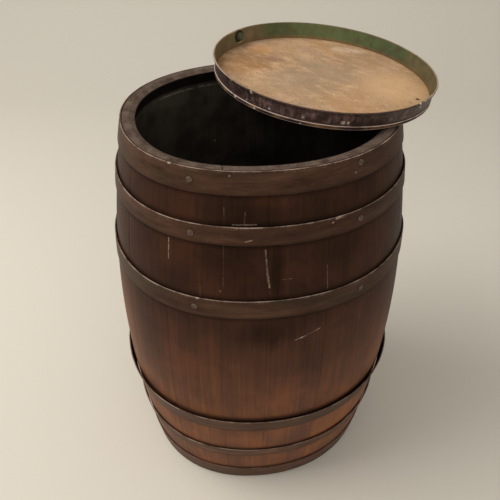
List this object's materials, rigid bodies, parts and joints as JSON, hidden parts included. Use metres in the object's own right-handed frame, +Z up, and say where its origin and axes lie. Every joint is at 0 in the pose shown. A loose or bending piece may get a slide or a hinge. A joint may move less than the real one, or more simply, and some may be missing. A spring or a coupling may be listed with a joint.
{
  "type": "barrel stick stand",
  "caption": "Open-topped coopered oak barrel bound with riveted iron hoops, used to hold walking sticks, with a loose round sheet-metal drip tray resting tilted over its mouth.",
  "frame": {"origin": "middle of the stand's outline seen from above, on the floor it stands on", "axes": "+Z up; -Y towards the viewer of the picture; +X to the viewer's right"},
  "size_m": [0.4546, 0.4256, 0.6169],
  "materials": {
    "stave_oak": "dark stained and waxed oak, worn satin",
    "head_oak": "dark dry oak",
    "hoop_iron": "brown lacquered band iron, worn at the edges",
    "rivet_iron": "brown lacquered iron",
    "nail_iron": "rubbed bright iron heads",
    "tray_paint": "old green and purple-brown paint, chipped at the edges",
    "tray_rust": "mottled tan, rust-stained sheet",
    "boss_iron": "dull painted iron"
  },
  "bodies": {
    "barrel": {"stave_01": "stave_oak", "stave_02": "stave_oak", "stave_03": "stave_oak", "stave_04": "stave_oak", "stave_05": "stave_oak", "stave_06": "stave_oak", "stave_07": "stave_oak", "stave_08": "stave_oak", "stave_09": "stave_oak", "stave_10": "stave_oak", "stave_11": "stave_oak", "stave_12": "stave_oak", "stave_13": "stave_oak", "stave_14": "stave_oak", "stave_15": "stave_oak", "stave_16": "stave_oak", "stave_17": "stave_oak", "stave_18": "stave_oak", "head_board_1": "head_oak", "head_board_2": "head_oak", "head_board_3": "head_oak", "head_board_4": "head_oak", "head_board_5": "head_oak", "chime_hoop_top": "hoop_iron", "quarter_hoop_top": "hoop_iron", "bilge_hoop_top": "hoop_iron", "bilge_hoop_bottom": "hoop_iron", "quarter_hoop_bottom": "hoop_iron", "chime_hoop_bottom": "hoop_iron", "chime_hoop_top_rivet_1": "rivet_iron", "chime_hoop_top_rivet_2": "rivet_iron", "quarter_hoop_top_rivet_1": "rivet_iron", "quarter_hoop_top_rivet_2": "rivet_iron", "bilge_hoop_top_rivet_1": "rivet_iron", "bilge_hoop_top_rivet_2": "rivet_iron", "bilge_hoop_bottom_rivet_1": "rivet_iron", "bilge_hoop_bottom_rivet_2": "rivet_iron", "quarter_hoop_bottom_rivet_1": "rivet_iron", "quarter_hoop_bottom_rivet_2": "rivet_iron", "chime_hoop_bottom_rivet_1": "rivet_iron", "chime_hoop_bottom_rivet_2": "rivet_iron", "chime_hoop_top_nail_1": "nail_iron", "chime_hoop_top_nail_2": "nail_iron", "chime_hoop_top_nail_3": "nail_iron", "chime_hoop_top_nail_4": "nail_iron", "quarter_hoop_top_nail_1": "nail_iron", "quarter_hoop_top_nail_2": "nail_iron", "quarter_hoop_top_nail_3": "nail_iron", "quarter_hoop_top_nail_4": "nail_iron", "bilge_hoop_top_nail_1": "nail_iron", "bilge_hoop_top_nail_2": "nail_iron", "bilge_hoop_top_nail_3": "nail_iron", "bilge_hoop_top_nail_4": "nail_iron"},
    "tray": {"tray_wall": "tray_paint", "tray_floor": "tray_rust", "tray_boss": "boss_iron"}
  },
  "joints": [
    {"name": "tray_lift", "type": "slide", "parent": "barrel", "child": "tray", "axis": [0, 0, 1], "range_m": [0, 0.15]}
  ]
}
